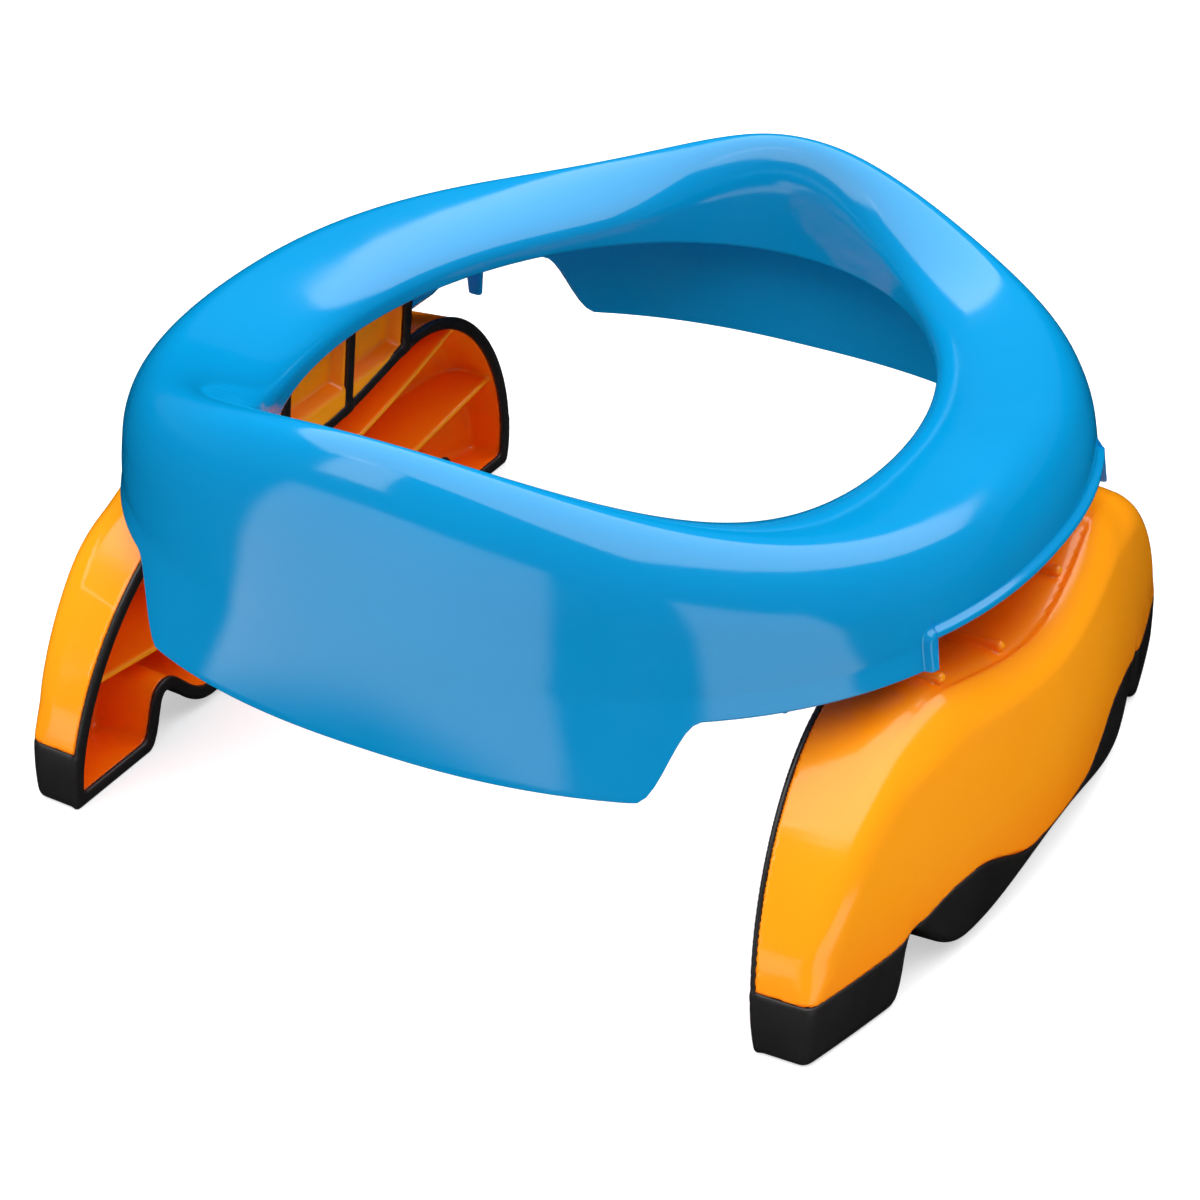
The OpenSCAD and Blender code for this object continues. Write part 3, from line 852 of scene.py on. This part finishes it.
def card_mask(tree, at):
    """1 on the two white cards laid in front of the object, 0 beside them."""
    parts = tree.nodes.new("ShaderNodeSeparateXYZ")
    tree.links.new(at, parts.inputs["Vector"])
    angle = calc(tree, "ARCTAN2", parts.outputs["Y"], parts.outputs["X"])
    mask = None
    for low, high in CARD_SECTORS:
        middle, half = math.radians((low + high) / 2), math.radians((high - low) / 2)
        off = calc(tree, "ABSOLUTE", calc(tree, "SUBTRACT", angle, middle), 0)
        inside = calc(tree, "MULTIPLY", calc(tree, "SUBTRACT", half, off), CARD_EDGE)
        clear = clamped(tree, inside)
        mask = clear if mask is None else calc(tree, "ADD", mask, clear)
    length = tree.nodes.new("ShaderNodeVectorMath")
    length.operation = "LENGTH"
    tree.links.new(at, length.inputs[0])
    past = calc(tree, "SUBTRACT", length.outputs["Value"], CARD_START)
    return calc(tree, "MULTIPLY", mask, clamped(tree, calc(tree, "MULTIPLY", past, CARD_START_EDGE)))


def studio_paper():
    """White paper. The plastic mirrors it as two white cards on a dark table."""
    mat, tree, bsdf = new_material("studio_paper")
    at = object_coord(tree)
    tree.links.new(ramp(tree, noise(tree, 3, 3, at), grey(0.6), grey(0.64)), bsdf.inputs["Base Color"])
    bsdf.inputs["Roughness"].default_value = 0.9
    bsdf.inputs["Specular IOR Level"].default_value = 0.0
    ray = tree.nodes.new("ShaderNodeLightPath").outputs
    bsdf.inputs["Emission Color"].default_value = grey(1)
    glow = calc(tree, "MULTIPLY", ray["Is Camera Ray"], FLOOR_GLOW)
    tree.links.new(glow, bsdf.inputs["Emission Strength"])
    cards = tree.nodes.new("ShaderNodeEmission")
    tree.links.new(calc(tree, "MULTIPLY", card_mask(tree, at), CARD_GLOW), cards.inputs["Strength"])
    mix = tree.nodes.new("ShaderNodeMixShader")
    tree.links.new(ray["Is Glossy Ray"], mix.inputs["Fac"])
    tree.links.new(bsdf.outputs["BSDF"], mix.inputs[1])
    tree.links.new(cards.outputs["Emission"], mix.inputs[2])
    tree.links.new(mix.outputs["Shader"], tree.nodes["Material Output"].inputs["Surface"])
    return mat


def build_floor():
    """A sheet of paper, level in front and curving up at the back."""
    rows = 24
    pts, faces = [], []
    for j in range(rows + 1):
        y = -FLOOR_HALF + 2 * FLOOR_HALF * j / rows
        z = max(0.0, y - FLOOR_RISE_Y) ** 2 * 0.35
        pts += [(-FLOOR_HALF / MM, y / MM, z / MM), (FLOOR_HALF / MM, y / MM, z / MM)]
    for j in range(rows):
        faces.append((2 * j, 2 * j + 1, 2 * j + 3, 2 * j + 2))
    floor = mesh_object("studio_floor", pts, faces)
    floor.data.materials.append(studio_paper())


def area_light(name, where, target, size, power, size_y=None):
    light = bpy.data.lights.new(name, "AREA")
    light.energy = power
    light.size = size
    if size_y:
        light.shape = "RECTANGLE"
        light.size_y = size_y
    obj = bpy.data.objects.new(name, light)
    bpy.context.scene.collection.objects.link(obj)
    obj.location = where
    obj.rotation_euler = (Vector(target) - Vector(where)).to_track_quat("-Z", "Y").to_euler()


def build_world():
    """White to the camera, a soft fill to matt surfaces, nearly dark in reflections."""
    world = bpy.data.worlds.new("studio_world")
    world.use_nodes = True
    tree = world.node_tree
    ray = tree.nodes.new("ShaderNodeLightPath").outputs
    more = calc(tree, "MULTIPLY", ray["Is Camera Ray"], WORLD_SEEN - WORLD_FILL)
    less = calc(tree, "MULTIPLY", ray["Is Glossy Ray"], WORLD_FILL - WORLD_MIRRORED)
    level = calc(tree, "SUBTRACT", calc(tree, "ADD", more, WORLD_FILL), less)
    tree.links.new(level, tree.nodes["Background"].inputs["Strength"])
    tree.nodes["Background"].inputs["Color"].default_value = grey(1)
    bpy.context.scene.world = world


def build_lights():
    area_light("overhead_box", (0, 0, 1.2), (0, 0, 0), 2.5, 52)
    area_light("front_left_box", (-0.9, -1.5, 0.9), (0, 0, 0.06), 0.5, 4, 0.9)
    bpy.context.scene.view_settings.view_transform = "Standard"


def build_camera():
    """A long lens in front of the object, a little to its right and above."""
    turn, tilt, roll = math.radians(30.4), math.radians(31.6), math.radians(-0.7)
    cam = bpy.data.cameras.new("studio_camera")
    cam.lens = 94.5
    cam.sensor_width = 36.0
    obj = bpy.data.objects.new("studio_camera", cam)
    bpy.context.scene.collection.objects.link(obj)
    obj.location = (0.3356, -0.5778, 0.4455)
    ahead = Vector((-math.sin(turn) * math.cos(tilt), math.cos(turn) * math.cos(tilt), -math.sin(tilt)))
    look = ahead.to_track_quat("-Z", "Y").to_matrix()
    obj.rotation_euler = (look @ Matrix.Rotation(roll, 3, "Z")).to_euler()
    bpy.context.scene.camera = obj


# ---------------------------------------------------------------- assembly
def build_seat(plastic):
    for piece in [build_seat_ring()] + build_ears() + build_wings() + build_prongs():
        dress(piece, plastic)
        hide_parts("seat_shell")
        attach(piece, "seat")


def build_legs(plastic, rubber):
    tray_skin = leg_surface(tray_field)
    rubber_skin = leg_surface(rubber_field)
    for side, body in ((1, "right_leg"), (-1, "left_leg")):
        tray, trim = build_leg(side, tray_skin, rubber_skin)
        dress(tray, plastic)
        dress(trim, rubber)
        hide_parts(body + "_tray")
        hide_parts(body + "_rubber")
        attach(tray, body)
        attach(trim, body)


def dress_pins(steel):
    for name, node in frame["nodes"].items():
        if name.endswith("hinge_pin"):
            node.data.materials.clear()
            node.data.materials.append(steel)


def build_all():
    # Each plastic's third colour is its painted shade colour for hollows and recesses; the first two give
    # its own random tone.
    blue = gloss_plastic("blue_plastic", (0.001, 0.22, 0.48, 1), (0.001, 0.24, 0.52, 1),
                         (0.001, 0.2, 0.7, 1), 0.09, 0.14)
    orange = gloss_plastic("orange_plastic", (0.9, 0.3, 0.004, 1), (0.93, 0.33, 0.005, 1),
                           (1.0, 0.13, 0.002, 1), 0.12, 0.18)
    build_seat(blue)
    build_legs(orange, soft_rubber("black_rubber"))
    dress_pins(pin_steel("pin_steel"))
    build_floor()
    build_world()
    build_lights()
    build_camera()


build_all()
